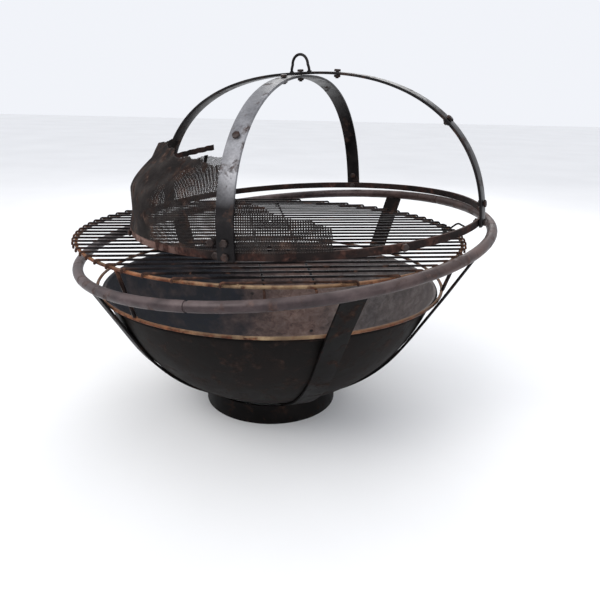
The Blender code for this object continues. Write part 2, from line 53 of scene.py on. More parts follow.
RAIL_TUBE = 0.0088               # radii of round stock
RAIL_SPIGOT = 0.0064
RING_WIRE = 0.0029
ROD_WIRE = 0.00195
POST_WIRE = 0.0034
HANDLE_WIRE = 0.0019
LOOP_WIRE = 0.0024

SPIGOT_LENGTH = 0.025
SPIGOT_TIP = 0.92                # share of the spigot's radius left at its tip
RAIL_END_ROUND = 0.0013          # length over which a rail's end is eased
RAIL_END_SHARE = 0.80            # share of the tube's radius left at that end

BOWL_WALL = 0.002
DRAIN_RADIUS = 0.008
LIP_DEPTH = 0.012                # the turned lip lies within this of the bowl's top
LIP_ROLL = 0.005                 # its roll starts this far below the top

ROD_BEND = 0.004                 # radius at a rod's bent ends
CROSS_ROD_TAIL_HEIGHT = -0.0055  # of a cross rod where it passes under the ring

EYE_RADIUS = 0.0062              # of the handle's open eyes
EYE_WRAP = radians(240)
HANDLE_LEAN = radians(38)        # above horizontal
HANDLE_BEND = 0.008
HANDLE_LENGTH = 0.0259

ARCH_WIDTH = 0.028
BAR_THICKNESS = 0.0044
GUARD_FULLNESS = 2.34            # exponent of the guard's arched outline
BAND_WIDTH = 0.0135
BAND_THICKNESS = 0.0018
STUB_WIDTH = 0.009
STUB_LENGTH = 0.036
BOLT_RADIUS = 0.003
BOLT_HEAD_RADIUS = 0.0061
BOLT_HEAD_HEIGHT = 0.0038
BOLT_END = 0.0018                # of the shank, past its nut
FOOT_GRIP = 0.0104               # what a bolt clamps
CROWN_GRIP = 0.0096
MESH_GRIP = 0.0036

HOLE_PITCH = 0.0036              # of the guard's mesh
MESH_INSET = 0.0021              # from the arches' inner face to the mesh
SLUMP_FROM = 0.075               # heights between which a slumped panel sinks in
SLUMP_TO = 0.155

WITHIN = 0.0001                  # how far a piece keeps inside its node


# ---- mesh helpers -------------------------------------------------------------------------------
def placed(name, mesh):
    """The scene's object for a mesh."""
    obj = bpy.data.objects.new(name, mesh)
    bpy.context.scene.collection.objects.link(obj)
    return obj


def mesh_object(name, vertices, faces):
    mesh = bpy.data.meshes.new(name)
    mesh.from_pydata([tuple(v) for v in vertices], [], faces)
    mesh.update()
    return placed(name, mesh)


def object_from(name, work):
    """An object that holds a finished bmesh."""
    mesh = bpy.data.meshes.new(name)
    work.to_mesh(mesh)
    work.free()
    return placed(name, mesh)


def circle(radius, sides):
    return [(radius * cos(2 * pi * i / sides), radius * sin(2 * pi * i / sides)) for i in range(sides)]


def quarter(radius, steps):
    """Quarter of a circle, from pointing outwards to pointing up."""
    return [(radius * cos(pi / 2 * i / steps), radius * sin(pi / 2 * i / steps)) for i in range(steps + 1)]


def smooth(share):
    """Eases a share from 0 to 1, level at both ends."""
    return share * share * (3 - 2 * share)


def rounded_bar(width, thickness, corner):
    """Outline of a flat bar with rolled edges: (along its width, through it)."""
    outline = []
    steps = 3
    for number, (side, face) in enumerate(((1, 1), (-1, 1), (-1, -1), (1, -1))):
        for i in range(steps + 1):
            angle = pi / 2 * (number + i / steps)
            outline.append((side * (width / 2 - corner) + corner * cos(angle),
                            face * (thickness / 2 - corner) + corner * sin(angle)))
    return outline


def sweep(name, path, section, across=None, closed=False, scales=None):
    """Carry a section along a path. across is the fixed direction of the section's first axis;
    without it the section turns as little as it can."""
    points = [Vector(p) for p in path]
    count = len(points)
    sides = len(section)
    side = across
    vertices = []
    for i, point in enumerate(points):
        before = points[i - 1] if closed or i else point
        after = points[(i + 1) % count] if closed or i < count - 1 else point
        tangent = (after - before).normalized()
        if across is None:
            side = tangent.orthogonal() if side is None else side - tangent * side.dot(tangent)
            side.normalize()
        lift = tangent.cross(side)
        scale = 1.0 if scales is None else scales[i]
        vertices += [point + (side * u + lift * v) * scale for u, v in section]
    faces = []
    for i in range(count if closed else count - 1):
        here = i * sides
        there = (i + 1) % count * sides
        for k in range(sides):
            after = (k + 1) % sides
            faces.append((here + k, here + after, there + after, there + k))
    if not closed:
        faces.append(tuple(reversed(range(sides))))
        faces.append(tuple(range((count - 1) * sides, count * sides)))
    return mesh_object(name, vertices, faces)


def bar(name, path, radius, sides=12):
    """Round bar with eased ends."""
    points = [Vector(p) for p in path]
    ends = []
    for first, second in ((points[0], points[1]), (points[-1], points[-2])):
        along = (second - first).normalized() * radius
        ends.append([first, first + along * 0.2, first + along * 0.6])
    path = ends[0] + points[1:-1] + ends[1][::-1]
    scales = [0.6, 0.88, 1.0] + [1.0] * (len(points) - 2) + [1.0, 0.88, 0.6]
    return sweep(name, path, circle(radius, sides), scales=scales)


def ring_path(radius, steps, height=0.0):
    return [(x, y, height) for x, y in circle(radius, steps)]


def lathe(name, profile, steps):
    """Turn a closed profile of (radius, height) about local Z."""
    count = len(profile)
    vertices = []
    for i in range(steps):
        angle = 2 * pi * i / steps
        vertices += [(r * cos(angle), r * sin(angle), z) for r, z in profile]
    faces = []
    for i in range(steps):
        here = i * count
        there = (i + 1) % steps * count
        for k in range(count):
            after = (k + 1) % count
            faces.append((here + k, there + k, there + after, here + after))
    obj = mesh_object(name, vertices, faces)
    face_outwards(obj)
    return obj


def face_outwards(obj):
    work = bmesh.new()
    work.from_mesh(obj.data)
    bmesh.ops.recalc_face_normals(work, faces=work.faces)
    work.to_mesh(obj.data)
    work.free()


def uneven(obj, amount, scale):
    """Move the surface in and out a little, as forged and weathered metal is."""
    mesh = obj.data
    normals = [v.normal.copy() for v in mesh.vertices]
    for vertex, normal in zip(mesh.vertices, normals):
        vertex.co += normal * (amount * (noise.noise(vertex.co * scale) - 0.6))
    mesh.update()


def joined(name, pieces):
    """One object holding the meshes of several."""
    work = bmesh.new()
    for piece in pieces:
        work.from_mesh(piece.data)
        bpy.data.objects.remove(piece, do_unlink=True)
    return object_from(name, work)


def finish_piece(obj, place, mats, body, nodes=(), sharp=35):
    """Put a piece built in a local frame into the model's frame, and say what it rides on."""
    obj.data.transform(place)
    for mat in mats:
        obj.data.materials.append(mat)
    obj.data.shade_smooth()
    obj.data.set_sharp_from_angle(angle=radians(sharp))
    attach(obj, body)
    if nodes:
        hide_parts(*nodes)


# ---- frames read from the model -----------------------------------------------------------------
def places(*nodes):
    """Where the nodes' vertices are."""
    return np.concatenate([np.array([v.co for v in frame["nodes"][node].data.vertices], float)
                           for node in nodes])


def main_direction(points):
    """Direction in which points spread most."""
    return np.linalg.svd(points - points.mean(0), full_matrices=False)[2][0]


def local(place, *nodes):
    """The nodes' vertices in a local frame."""
    turn = np.array(place.inverted())
    return places(*nodes) @ turn[:3, :3].T + turn[:3, 3]


def round_frame(*nodes, towards=None):
    """Local frame of a round piece: Z along its axis, X towards the far end of another node."""
    points = places(*nodes)
    middle = points.mean(0)
    axis = Vector(np.linalg.svd(points - middle, full_matrices=False)[2][-1])
    if axis.z < 0:
        axis.negate()
    first = Vector((1, 0, 0))
    if towards:
        spread = main_direction(places(towards))
        first = Vector(spread) * (1 if spread[0] > 0 else -1)
    first = (first - axis * first.dot(axis)).normalized()
    second = axis.cross(first)
    flat = (points - middle) @ np.array([first, second]).T
    fit = np.column_stack((2 * flat, np.ones(len(flat))))
    centre = np.linalg.lstsq(fit, (flat ** 2).sum(1), rcond=None)[0]
    origin = Vector(middle) + first * centre[0] + second * centre[1]
    turn = Matrix((first, second, axis)).transposed().to_4x4()
    return Matrix.Translation(origin) @ turn


RAILS = [n for n in frame["nodes"] if n.startswith("rail_")]
RODS = sorted(n for n in frame["nodes"] if n.startswith("grate_rod_"))
rail_place = round_frame(*RAILS)
grate_place = round_frame("grate_ring", towards=RODS[len(RODS) // 2])
axis_place = Matrix.Translation((grate_place.translation.x, grate_place.translation.y, 0))
guard_place = round_frame("guard_hoop", towards="upper_arch")
guard_place = guard_place @ Matrix.Translation((0, 0, local(guard_place, "guard_hoop")[:, 2].min()))


def forward_bearing(node):
    """Direction of an arch's front foot about the guard's axis."""
    spread = main_direction(local(guard_place, node))
    angle = atan2(spread[1], spread[0])
    return angle if angle < 0 else angle - pi


FRONT = forward_bearing("lower_arch")


# ---- materials ----------------------------------------------------------------------------------
def tone(*display):
    """A colour given as red, green and blue in display values, 0 to 255."""
    return (*(((c / 255 + 0.055) / 1.055) ** 2.4 if c > 10 else c / 255 / 12.92 for c in display), 1.0)


class Shading:
    """A Principled material, and short ways to add the nodes that feed it."""

    def __init__(self, name):
        self.material = bpy.data.materials.new(name)
        self.material.use_nodes = True
        self.tree = self.material.node_tree
        self.shader = self.tree.nodes["Principled BSDF"]
        self.place = self.tree.nodes.new("ShaderNodeTexCoord").outputs["Object"]

    def link(self, source, target):
        self.tree.links.new(source, target)

    def set(self, socket, value):
        if isinstance(value, bpy.types.NodeSocket):
            self.link(value, socket)
        else:
            socket.default_value = value

    def noise(self, scale, detail=4.0, roughness=0.55, distortion=0.0):
        node = self.tree.nodes.new("ShaderNodeTexNoise")
        self.link(self.place, node.inputs["Vector"])
        node.inputs["Scale"].default_value = scale
        node.inputs["Detail"].default_value = detail
        node.inputs["Roughness"].default_value = roughness
        node.inputs["Distortion"].default_value = distortion
        return node.outputs["Fac"]

    def cells(self, scale):
        node = self.tree.nodes.new("ShaderNodeTexVoronoi")
        self.link(self.place, node.inputs["Vector"])
        node.inputs["Scale"].default_value = scale
        return node.outputs["Distance"]

    def ramp(self, factor, stops):
        """Colours or grey levels against a factor, as (position, value) pairs."""
        node = self.tree.nodes.new("ShaderNodeValToRGB")
        elements = node.color_ramp.elements
        while len(elements) < len(stops):
            elements.new(0.5)
        for element, (position, value) in zip(elements, stops):
            element.position = position
            element.color = value if isinstance(value, tuple) else (value, value, value, 1.0)
        self.link(factor, node.inputs["Fac"])
        return node.outputs["Color"]

    def graded(self, factor, tones, at):
        """Three tones, dark to light, at three levels of a factor."""
        return self.ramp(factor, [(position, tone(*colour)) for position, colour in zip(at, tones)])

    def mix(self, factor, first, second):
        node = self.tree.nodes.new("ShaderNodeMix")
        node.data_type = "RGBA"
        self.set(node.inputs[0], factor)
        self.set(node.inputs[6], first)
        self.set(node.inputs[7], second)
        return node.outputs[2]

    def maths(self, operation, first, second):
        node = self.tree.nodes.new("ShaderNodeMath")
        node.operation = operation
        node.use_clamp = operation != "SUBTRACT"
        self.set(node.inputs[0], first)
        self.set(node.inputs[1], second)
        return node.outputs["Value"]

    def span(self, value, low, high, to_low=0.0, to_high=1.0):
        """A value carried from one range to another."""
        node = self.tree.nodes.new("ShaderNodeMapRange")
        self.link(value, node.inputs["Value"])
        ends = {"From Min": low, "From Max": high, "To Min": to_low, "To Max": to_high}
        for name, number in ends.items():
            node.inputs[name].default_value = number
        return node.outputs["Result"]

    def axis(self, source, name):
        node = self.tree.nodes.new("ShaderNodeSeparateXYZ")
        self.link(source, node.inputs["Vector"])
        return node.outputs[name]

    def facing_up(self):
        geometry = self.tree.nodes.new("ShaderNodeNewGeometry")
        return self.axis(geometry.outputs["Normal"], "Z")

    def out_from(self, x, y):
        """Distance from an upright axis."""
        node = self.tree.nodes.new("ShaderNodeVectorMath")
        node.operation = "MULTIPLY_ADD"
        self.link(self.place, node.inputs[0])
        node.inputs[1].default_value = (1, 1, 0)
        node.inputs[2].default_value = (-x, -y, 0)
        length = self.tree.nodes.new("ShaderNodeVectorMath")
        length.operation = "LENGTH"
        self.link(node.outputs[0], length.inputs[0])
        return length.outputs["Value"]

    def bump(self, height, distance):
        node = self.tree.nodes.new("ShaderNodeBump")
        node.inputs["Distance"].default_value = distance
        self.link(height, node.inputs["Height"])
        self.link(node.outputs["Normal"], self.shader.inputs["Normal"])


BASE_LEVELS = (0.30, 0.50, 0.72)
RUST_LEVELS = (0.30, 0.50, 0.70)


def weathered(name, base, rust, rust_share, roughness, metallic, dust_and_top_light=None, extra_rust=None, grain=260,
              relief=0.0005, others=(), gloss=0.12):
    """Painted or bare steel with cloudy colour, scale, rust that is rough and matt, and a dusty film on
    upward faces that is in part a painted highlight on the tops.

    base and rust are three tones each, dark to light; rust_share is how much of the surface has gone.
    extra_rust takes the shading and gives a factor that adds rust where it is high. others are further
    bases, each with a function of the shading that gives where it takes over; some of them are painted
    light or shade. The layer for upward faces is a colour and how thickly it lies: a dusty film, and in
    part a painted highlight where light falls on the tops. gloss is the level of the surface's plain
    reflection."""
    s = Shading(name)
    cloud = s.noise(24, detail=6)
    fine = s.noise(grain, detail=3)
    body = s.graded(cloud, base, BASE_LEVELS)
    for tones, where in others:
        body = s.mix(where(s), body, s.graded(cloud, tones, BASE_LEVELS))
    body = s.mix(s.ramp(fine, [(0.35, 0.0), (0.8, 0.35)]), body, tone(*base[0]))
    patches = s.noise(38, detail=8, roughness=0.65, distortion=0.4)
    edge = 0.66 - 0.36 * rust_share
    factor = s.ramp(patches, [(edge - 0.05, 0.0), (edge + 0.06, 1.0)])
    if extra_rust:
        factor = s.maths("ADD", factor, extra_rust(s))
    colour = s.mix(factor, body, s.graded(s.noise(120, detail=6), rust, RUST_LEVELS))
    rough = s.mix(factor, s.span(cloud, 0.3, 0.7, *roughness), s.span(fine, 0.2, 0.8, 0.72, 0.95))
    # settled dust on upward faces, and in part a painted highlight where light falls on the tops
    if dust_and_top_light:
        dust_and_light_colour, thickness = dust_and_top_light
        dust_and_light_thickness = s.ramp(cloud, [(0.35, 0.15), (0.65, thickness)])
        dust_and_light_share = s.maths("MULTIPLY", s.span(s.facing_up(), 0.2, 0.95), dust_and_light_thickness)
        colour = s.mix(dust_and_light_share, colour, tone(*dust_and_light_colour))
        rough = s.mix(dust_and_light_share, rough, (0.9, 0.9, 0.9, 1.0))
    s.link(colour, s.shader.inputs["Base Color"])
    s.link(rough, s.shader.inputs["Roughness"])
    s.link(s.span(factor, 0.0, 1.0, metallic, 0.05), s.shader.inputs["Metallic"])
    s.shader.inputs["Specular IOR Level"].default_value = gloss
    scale = s.maths("MULTIPLY", factor, s.noise(420, detail=5))
    s.bump(s.maths("ADD", s.maths("MULTIPLY", fine, 0.25), scale), relief)
    return s.material


def rightwards(s, low, high):
    """Grows from 0 at one X to 1 at another; either may be the larger."""
    return s.span(s.axis(s.place, "X"), low, high)


def backwards(s, low, high):
    """The same along Y."""
    return s.span(s.axis(s.place, "Y"), low, high)


def upwards(s, low, high):
    """The same along Z."""
    return s.span(s.axis(s.place, "Z"), low, high)


def all_of(s, first, *rest):
    """High only where every factor is high."""
    for factor in rest:
        first = s.maths("MULTIPLY", first, factor)
    return first


def browner_right(s):
    return rightwards(s, 0.08, 0.30)


# painted highlight: a paler, creamy band along the front of the rings, where light falls on them
def painted_highlight_front(s):
    return all_of(s, rightwards(s, -0.20, -0.06), rightwards(s, 0.16, 0.04))


# painted shade: darker towards the right and the back, where the rings lie in shade
def painted_shade_right_and_back(s):
    return s.maths("ADD", rightwards(s, 0.10, 0.24), backwards(s, -0.16, 0.06))


def rods_front_ends(s):
    centre = axis_place.translation
    return all_of(s, s.span(s.out_from(centre.x, centre.y), 0.335, 0.35), backwards(s, 0.08, -0.10))


# painted reflection: a satin-grey sheen at the front strap's middle heights, where its dark paint mirrors
# the sky
def painted_sheen_front_strap(s):
    return all_of(s, rightwards(s, 0.14, 0.10), backwards(s, -0.03, -0.09), upwards(s, 0.425, 0.47),
                  upwards(s, 0.615, 0.575))


# paler and pinker towards the left and the front
def paler_left_front(s):
    return all_of(s, rightwards(s, -0.10, -0.19), backwards(s, 0.12, 0.0))


# the rail's pale pinkish layer on its upward faces is settled dust and in part a painted highlight along
# the tube's top
rail_paint = weathered(
    "rail_paint", ((36, 28, 29), (62, 51, 52), (92, 79, 79)), ((34, 24, 22), (58, 42, 38), (86, 66, 60)),
    rust_share=0.22, roughness=(0.32, 0.5), metallic=0.25, dust_and_top_light=((136, 122, 120), 0.3), gloss=0.3,
    others=[(((40, 29, 27), (64, 47, 42), (90, 68, 61)), browner_right)])
strap_paint = weathered(
    "strap_paint", ((7, 6, 6), (13, 11, 11), (24, 21, 20)), ((20, 14, 12), (36, 25, 21), (58, 42, 34)),
    rust_share=0.22, roughness=(0.4, 0.65), metallic=0.2, dust_and_top_light=((74, 62, 57), 0.1), gloss=0.08)
# rust on the rings, with a painted highlight on the front and on the tops, and painted shade at the right
# and back
ring_rust = weathered(
    "ring_rust", ((76, 45, 33), (124, 76, 50), (170, 114, 76)), ((46, 30, 25), (84, 50, 37), (132, 80, 52)),
    rust_share=0.36, roughness=(0.35, 0.6), metallic=0.35, dust_and_top_light=((196, 170, 138), 0.22), relief=0.0004,
    others=[(((78, 63, 50), (122, 101, 78), (168, 145, 114)), painted_highlight_front),
            (((40, 29, 26), (66, 47, 40), (98, 72, 60)), painted_shade_right_and_back)])
rod_steel = weathered(
    "rod_steel", ((15, 13, 13), (28, 24, 25), (52, 48, 49)), ((40, 28, 25), (66, 46, 38), (104, 72, 56)),
    rust_share=0.12, roughness=(0.2, 0.4), metallic=0.7, extra_rust=rods_front_ends, relief=0.0003)
# dark paint on the guard, with a painted reflection in grey on the front strap
guard_paint = weathered(
    "guard_paint", ((20, 19, 20), (32, 30, 31), (50, 47, 47)), ((34, 25, 23), (56, 42, 37), (84, 64, 55)),
    rust_share=0.14, roughness=(0.3, 0.5), metallic=0.4, relief=0.00025,
    others=[(((104, 104, 107), (132, 132, 136), (154, 154, 158)), painted_sheen_front_strap)])
hoop_rust = weathered(
    "hoop_rust", ((20, 15, 15), (33, 26, 25), (56, 44, 41)), ((34, 23, 21), (54, 36, 32), (82, 57, 50)),
    rust_share=0.35, roughness=(0.6, 0.8), metallic=0.1, dust_and_top_light=((130, 104, 94), 0.25),
    others=[(((84, 62, 56), (118, 92, 84), (150, 124, 114)), paler_left_front)])
mesh_rust = weathered(
    "mesh_rust", ((30, 27, 27), (48, 44, 43), (76, 71, 69)), ((36, 28, 26), (62, 49, 44), (98, 80, 72)),
    rust_share=0.3, roughness=(0.45, 0.7), metallic=0.35, grain=700)
bolt_steel = weathered(
    "bolt_steel", ((34, 29, 28), (54, 46, 44), (90, 82, 80)), ((38, 26, 24), (62, 42, 36), (96, 66, 54)),
    rust_share=0.3, roughness=(0.3, 0.5), metallic=0.5, grain=900)
bowl_outside = weathered(
    "bowl_outside", ((9, 7, 6), (17, 13, 12), (29, 23, 21)), ((18, 13, 11), (30, 22, 19), (48, 35, 30)),
    rust_share=0.22, roughness=(0.6, 0.8), metallic=0.15)


def burnt_inside():
    """The fire's side of the bowl: blue-black at the left as painted shade, ash-brown and then grey, dark
    pits.
    """
    s = Shading("bowl_inside")
    cloud = s.noise(14, detail=8, roughness=0.6)
    scale_marks = s.noise(70, detail=8, roughness=0.7, distortion=0.6)
    side = s.axis(s.place, "X")
    # painted shade: the left of the inside, turned from the light, goes blue-black; towards the right it
    # turns to ash
    out_of_shade = s.maths("ADD", s.span(side, -0.17, 0.02, 0.0, 0.85), s.span(cloud, 0.35, 0.7, -0.3, 0.3))
    ash_levels = (0.30, 0.48, 0.70)
    black = s.graded(scale_marks, ((16, 18, 24), (30, 34, 44), (58, 60, 68)), (0.35, 0.6, 0.8))
    brown = s.graded(scale_marks, ((66, 49, 44), (116, 92, 84), (150, 128, 118)), ash_levels)
    grey = s.graded(scale_marks, ((74, 66, 64), (102, 94, 92), (130, 123, 121)), ash_levels)
    ash = s.mix(s.span(side, 0.06, 0.16), brown, grey)
    colour = s.mix(out_of_shade, black, ash)
    pits = s.ramp(s.cells(34), [(0.10, 1.0), (0.17, 0.0)])
    pits = s.maths("MULTIPLY", pits, s.ramp(s.noise(9), [(0.5, 0.0), (0.58, 1.0)]))
    colour = s.mix(pits, colour, tone(16, 13, 12))
    s.link(colour, s.shader.inputs["Base Color"])
    s.link(s.span(scale_marks, 0.3, 0.7, 0.5, 0.85), s.shader.inputs["Roughness"])
    s.shader.inputs["Metallic"].default_value = 0.2
    s.bump(s.maths("SUBTRACT", s.maths("MULTIPLY", scale_marks, 0.6), pits), 0.0012)
    return s.material


bowl_inside = burnt_inside()


# ---- tube rail ----------------------------------------------------------------------------------
def ring_line(place, *nodes):
    """Radius and height of a ring's centre line in a local frame."""
    points = local(place, *nodes)
    outwards = np.hypot(points[:, 0], points[:, 1])
    return (outwards.min() + outwards.max()) / 2, (points[:, 2].min() + points[:, 2].max()) / 2


RAIL_REACH = ring_line(rail_place, *RAILS)[0]


def rail(node):
    """One length of tube, its ends eased, with a spigot that enters the next length."""
    points = local(rail_place, node)
    from_centre_line = np.hypot(np.hypot(points[:, 0], points[:, 1]) - RAIL_REACH, points[:, 2])
    skin = points[from_centre_line > (RAIL_TUBE + RAIL_SPIGOT) / 2]
    angles = np.arctan2(skin[:, 1], skin[:, 0])
    middle = atan2(np.sin(angles).mean(), np.cos(angles).mean())
    turned = (angles - middle + pi) % (2 * pi) - pi
    start = middle + turned.min()
    end = middle + turned.max()
    steps = 110
    route = [start + (end - start) * i / steps for i in range(steps + 1)]
    route[1] = start + RAIL_END_ROUND / RAIL_REACH
    route[-2] = end - RAIL_END_ROUND / RAIL_REACH
    route += [end + reach / RAIL_REACH for reach in (0.0004, SPIGOT_LENGTH / 2, SPIGOT_LENGTH)]
    scales = [RAIL_END_SHARE, 0.97] + [1.0] * (steps - 2) + [0.97, RAIL_END_SHARE]
    scales += [RAIL_SPIGOT / RAIL_TUBE] * 2 + [SPIGOT_TIP * RAIL_SPIGOT / RAIL_TUBE]
    path = [(RAIL_REACH * cos(a), RAIL_REACH * sin(a), 0) for a in route]
    length = sweep(node + "_tube", path, circle(RAIL_TUBE, 28), across=UP, scales=scales)
    uneven(length, 0.00016, 60)
    finish_piece(length, rail_place, [rail_paint], "frame", [node])


for node in RAILS:
    rail(node)


# ---- bowl ---------------------------------------------------------------------------------------
def bowl_outline():
    """Inner skin up to the rim, over the turned lip, and back down the outer skin."""
    points = local(axis_place, "fire_bowl")
    low, high = points[:, 2].min(), points[:, 2].max()
    reach = np.hypot(points[:, 0], points[:, 1])
    skin = points[points[:, 2] < high - LIP_DEPTH]
    outwards = np.hypot(skin[:, 0], skin[:, 1])
    fit = np.column_stack((2 * skin[:, 2], np.ones(len(skin))))
    centre, rest = np.linalg.lstsq(fit, outwards ** 2 + skin[:, 2] ** 2, rcond=None)[0]
    middle = sqrt(rest + centre ** 2)
    inner = middle - BOWL_WALL / 2
    outer = middle + BOWL_WALL / 2 - 0.0002
    rim = high - LIP_ROLL
    steps = 56
    edge = acos((centre - rim) / inner)
    first = DRAIN_RADIUS / inner
    inside = []
    outside = []
    for i in range(steps + 1):
        angle = first + (edge - first) * i / steps
        inside.append((inner * sin(angle), centre - inner * cos(angle)))
        outside.append((outer * sin(angle), centre - outer * cos(angle)))
    roll = (reach.max() - inside[-1][0] - 0.0004) / 2
    lip = inside[-1][0] + roll
    over = []
    under = []
    for i in range(1, 11):
        angle = pi * i / 10
        for side, radius in ((over, roll), (under, roll - BOWL_WALL * 0.8)):
            side.append((lip - radius * cos(angle), rim + radius * sin(angle)))
    return inside + over + under[::-1] + outside[::-1], centre


bowl_profile, bowl_centre = bowl_outline()
bowl = lathe("bowl_shell", bowl_profile, 180)
for face in bowl.data.polygons:
    middle = face.center - Vector((0, 0, bowl_centre))
    face.material_index = 0 if face.normal.dot(middle) < 0 else 1
finish_piece(bowl, axis_place, [bowl_inside, bowl_outside], "bowl", ["fire_bowl"], sharp=50)


# ---- grate --------------------------------------------------------------------------------------
GRATE_REACH = ring_line(grate_place, "grate_ring")[0]
LOWER_REACH, LOWER_HEIGHT = ring_line(grate_place, "lower_ring")
for node, reach, height in (("grate_ring", GRATE_REACH, 0.0), ("lower_ring", LOWER_REACH, LOWER_HEIGHT)):
    path = ring_path(reach - 2 * WITHIN, 260, height)
    ring = sweep(node + "_wire", path, circle(RING_WIRE, 16), across=UP, closed=True)
    uneven(ring, 0.00022, 90)
    finish_piece(ring, grate_place, [ring_rust], "grate", [node])


def bent_over(offset, node):
    """A rod's path: up from its hooked end, over the ring and down again at the other side."""
    points = local(grate_place, node)
    end = points[:, 0].max() - ROD_WIRE - WITHIN
    tip = points[:, 2].min() + WITHIN
    top = points[:, 2].max() - ROD_WIRE - WITHIN
    right = [(end, tip), (end, tip + 0.3 * (top - ROD_BEND - tip))]
    right += [(end - ROD_BEND + x, top - ROD_BEND + z) for x, z in quarter(ROD_BEND, 6)]
    left = [(-x, z) for x, z in reversed(right)]
    span = right[-1][0]
    steps = 24
    middle = [(span * (1 - 2 * i / steps), top) for i in range(1, steps)]
    route = []
    for x, z in right + middle + left:
        sway = 0.0006 * noise.noise(Vector((x * 9, offset * 40, 3))) * (1 - (x / end) ** 2)
        sag = 0.0
        if abs(x) < span * 0.97:
            sag = 0.0002 * (1 + noise.noise(Vector((x * 12, offset * 55, 8))))
        route.append((x, offset + sway, z - sag))
    return route


weld_spots = []
for node in RODS:
    offset = float(local(grate_place, node)[:, 1].mean())
    rod = bar(node + "_wire", bent_over(offset, node), ROD_WIRE, 10)
    finish_piece(rod, grate_place, [rod_steel], "grate", [node])
    reach = sqrt(max(GRATE_REACH ** 2 - offset ** 2, 0))
    weld_spots += [(reach, offset), (-reach, offset)]


def cross_rod(number):
    """Under the rods from front to back, down under the ring, with a short tail past it."""
    node = "cross_rod_%d" % number
    points = local(grate_place, node)
    offset = float((points[:, 0].max() + points[:, 0].min()) / 2)
    ring = sqrt(GRATE_REACH ** 2 - offset ** 2)
    high = points[:, 2].max() - ROD_WIRE - WITHIN
    low = points[:, 2].min() + WITHIN
    under = CROSS_ROD_TAIL_HEIGHT
    out = points[:, 1].max() - ROD_WIRE - WITHIN
    tail = [(out, low)]
    tail += [(out - ROD_BEND + y, under - ROD_BEND + z) for y, z in quarter(ROD_BEND, 5)]
    rise = []
    for i in range(9):
        share = i / 8
        rise.append((ring - 0.006 - 0.012 * share, under + (high - under) * smooth(share)))
    half = tail + rise
    front = [(offset, -y, z) for y, z in half]
    back = [(offset, y, z) for y, z in reversed(half)]
    rod = bar(node + "_wire", front + back, ROD_WIRE, 10)
    finish_piece(rod, grate_place, [rod_steel], "grate", [node])


for number in (1, 2):
    cross_rod(number)


def post(node):
    """Upright between the two rings; gives its direction."""
    points = local(grate_place, node)
    azimuth = atan2(points[:, 1].mean(), points[:, 0].mean())
    out = Vector((cos(azimuth), sin(azimuth), 0))
    top = out * GRATE_REACH
    foot = out * LOWER_REACH + UP * LOWER_HEIGHT
    along = (top - foot).normalized() * (RING_WIRE + 2 * WITHIN)
    route = [foot + along + (top - foot - 2 * along) * (i / 12) for i in range(13)]
    piece = bar(node + "_bar", route, POST_WIRE, 14)
    uneven(piece, 0.0002, 120)
    finish_piece(piece, grate_place, [rod_steel], "grate", [node])
    return azimuth


posts = [post("grate_post_%d" % number) for number in (1, 2, 3)]


def bead(centre, size, seed):
    """A small lump of weld."""
    work = bmesh.new()
    bmesh.ops.create_icosphere(work, subdivisions=2, radius=1.0)
    for vertex in work.verts:
        lump = 1 + 0.25 * noise.noise(vertex.co * 1.7 + Vector((seed, 0, 0)))
        vertex.co = Vector(centre) + Vector([vertex.co[k] * size[k] * lump for k in range(3)])
    return object_from("bead", work)


ROD_BEAD = (0.0026, 0.0024, 0.0019)
POST_BEAD = (0.0034, 0.0034, 0.0022)
beads = [bead((x, y, RING_WIRE * 0.75), ROD_BEAD, k * 3.7) for k, (x, y) in enumerate(weld_spots)]
for k, azimuth in enumerate(posts):
    upper = (GRATE_REACH, -POST_BEAD[2], k)
    lower = (LOWER_REACH, LOWER_HEIGHT + POST_BEAD[2], k + 9.1)
    for reach, height, seed in (upper, lower):
        beads.append(bead((reach * cos(azimuth), reach * sin(azimuth), height), POST_BEAD, seed))
finish_piece(joined("grate_welds", beads), grate_place, [ring_rust], "grate")


def handle():
    """Wire bail with an open eye round the ring at each end."""
    joint = next(j for j in frame["joints"] if j["name"] == "handle_swing")
    hinge = grate_place.inverted() @ Vector(joint["pos_m"])
    points = local(grate_place, "grate_handle")
    half = float(points[:, 1].max()) - HANDLE_WIRE - WITHIN
    start = HANDLE_LEAN - pi / 2 - EYE_WRAP
    steps = 22
    angles = [start + EYE_WRAP * i / steps for i in range(steps + 1)]
    left = [(EYE_RADIUS * cos(a), -half, EYE_RADIUS * sin(a)) for a in angles]
    out, _, up = left[-1]
    straight = HANDLE_LENGTH - HANDLE_BEND
    runs = [(0.5 * straight, 0.0)] + [(straight + y, HANDLE_BEND - x) for x, y in quarter(HANDLE_BEND, 7)]
    left += [(out + run * cos(HANDLE_LEAN), inset - half, up + run * sin(HANDLE_LEAN))
             for run, inset in runs]
    right = [(x, -y, z) for x, y, z in reversed(left)]
    piece = bar("grate_handle_wire", left + right, HANDLE_WIRE)
    finish_piece(piece, grate_place @ Matrix.Translation(hinge), [strap_paint], "handle",
                 ["grate_handle"])


handle()


# ---- spark guard --------------------------------------------------------------------------------
ARCH_OUT = float(local(guard_place, "upper_arch")[:, 0].max())
LOWER_TOP = float(local(guard_place, "lower_arch")[:, 2].max())
UPPER_TOP = float(local(guard_place, "upper_arch")[:, 2].max())
HALF_BAR = BAR_THICKNESS / 2
hoop_points = local(guard_place, "guard_hoop")
HOOP_OUT = float(np.hypot(hoop_points[:, 0], hoop_points[:, 1]).max())
HOOP_TOP = float(hoop_points[:, 2].max())


